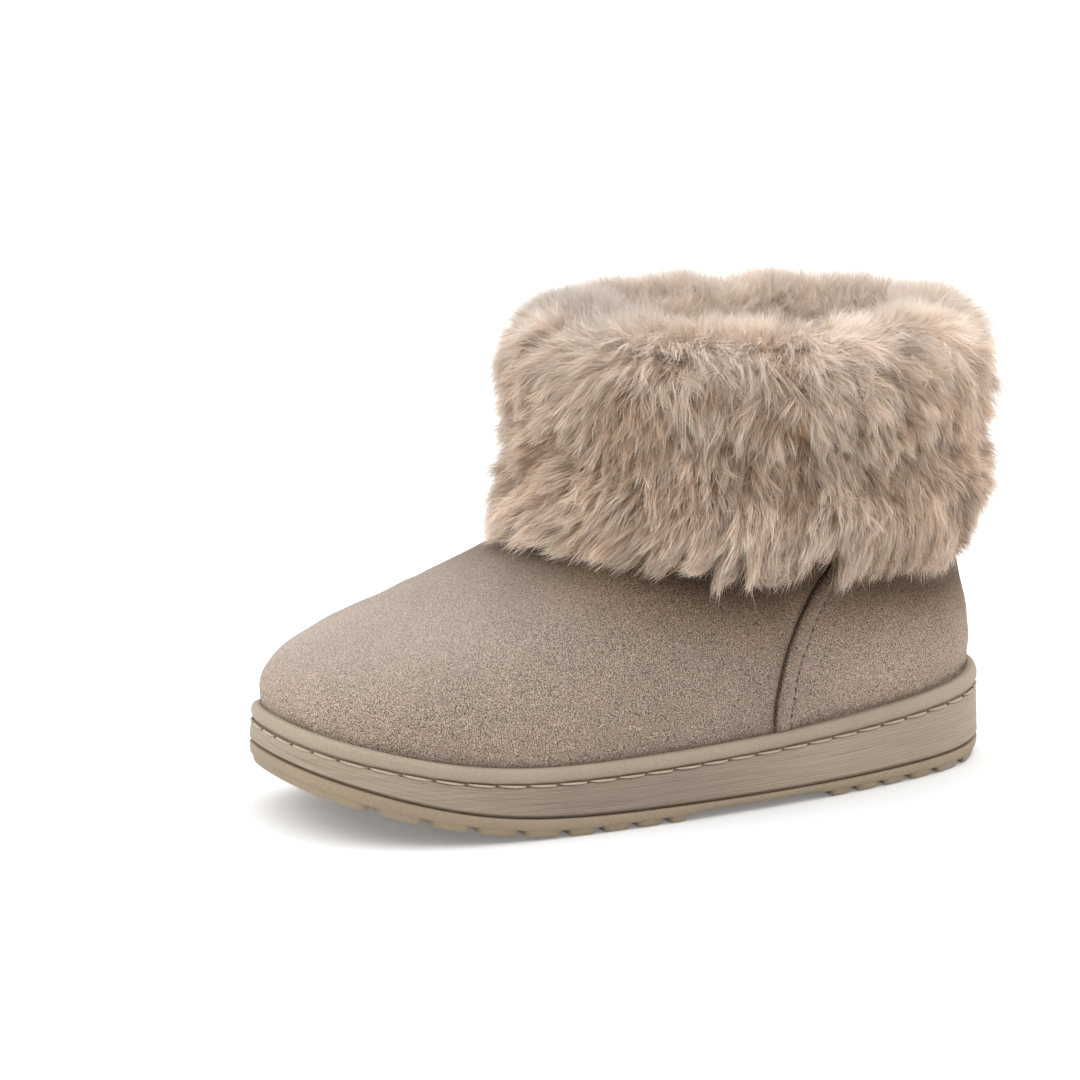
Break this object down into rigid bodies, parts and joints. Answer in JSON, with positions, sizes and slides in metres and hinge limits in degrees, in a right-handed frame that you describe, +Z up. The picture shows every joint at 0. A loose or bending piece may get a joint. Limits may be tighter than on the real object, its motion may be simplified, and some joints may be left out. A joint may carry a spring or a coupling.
{
  "type": "fur-cuffed ankle boot",
  "caption": "Child's slip-on winter ankle boot, left foot: suede-look upper with side seams, deep folded fur cuff, thick ribbed rubber sole with rolled welt.",
  "frame": {"origin": "centre of the boot's plan box, on the floor it stands on", "axes": "+Z up, the toe towards -Y and the heel towards +Y, the outer side towards +X"},
  "size_m": [0.0986, 0.18, 0.1102],
  "materials": {
    "tread_rubber": "matt, fine sandy grain",
    "sole_rubber": "matt, satin on the rolled welt",
    "plush": "short soft pile",
    "suede": "matt suede-look nap",
    "fur": "long soft pile, browner at the roots"
  },
  "bodies": {
    "root": {"outsole": "tread_rubber", "midsole": "sole_rubber", "welt": "sole_rubber", "insole": "plush", "upper": "suede", "fur_cuff": "fur"}
  },
  "joints": []
}
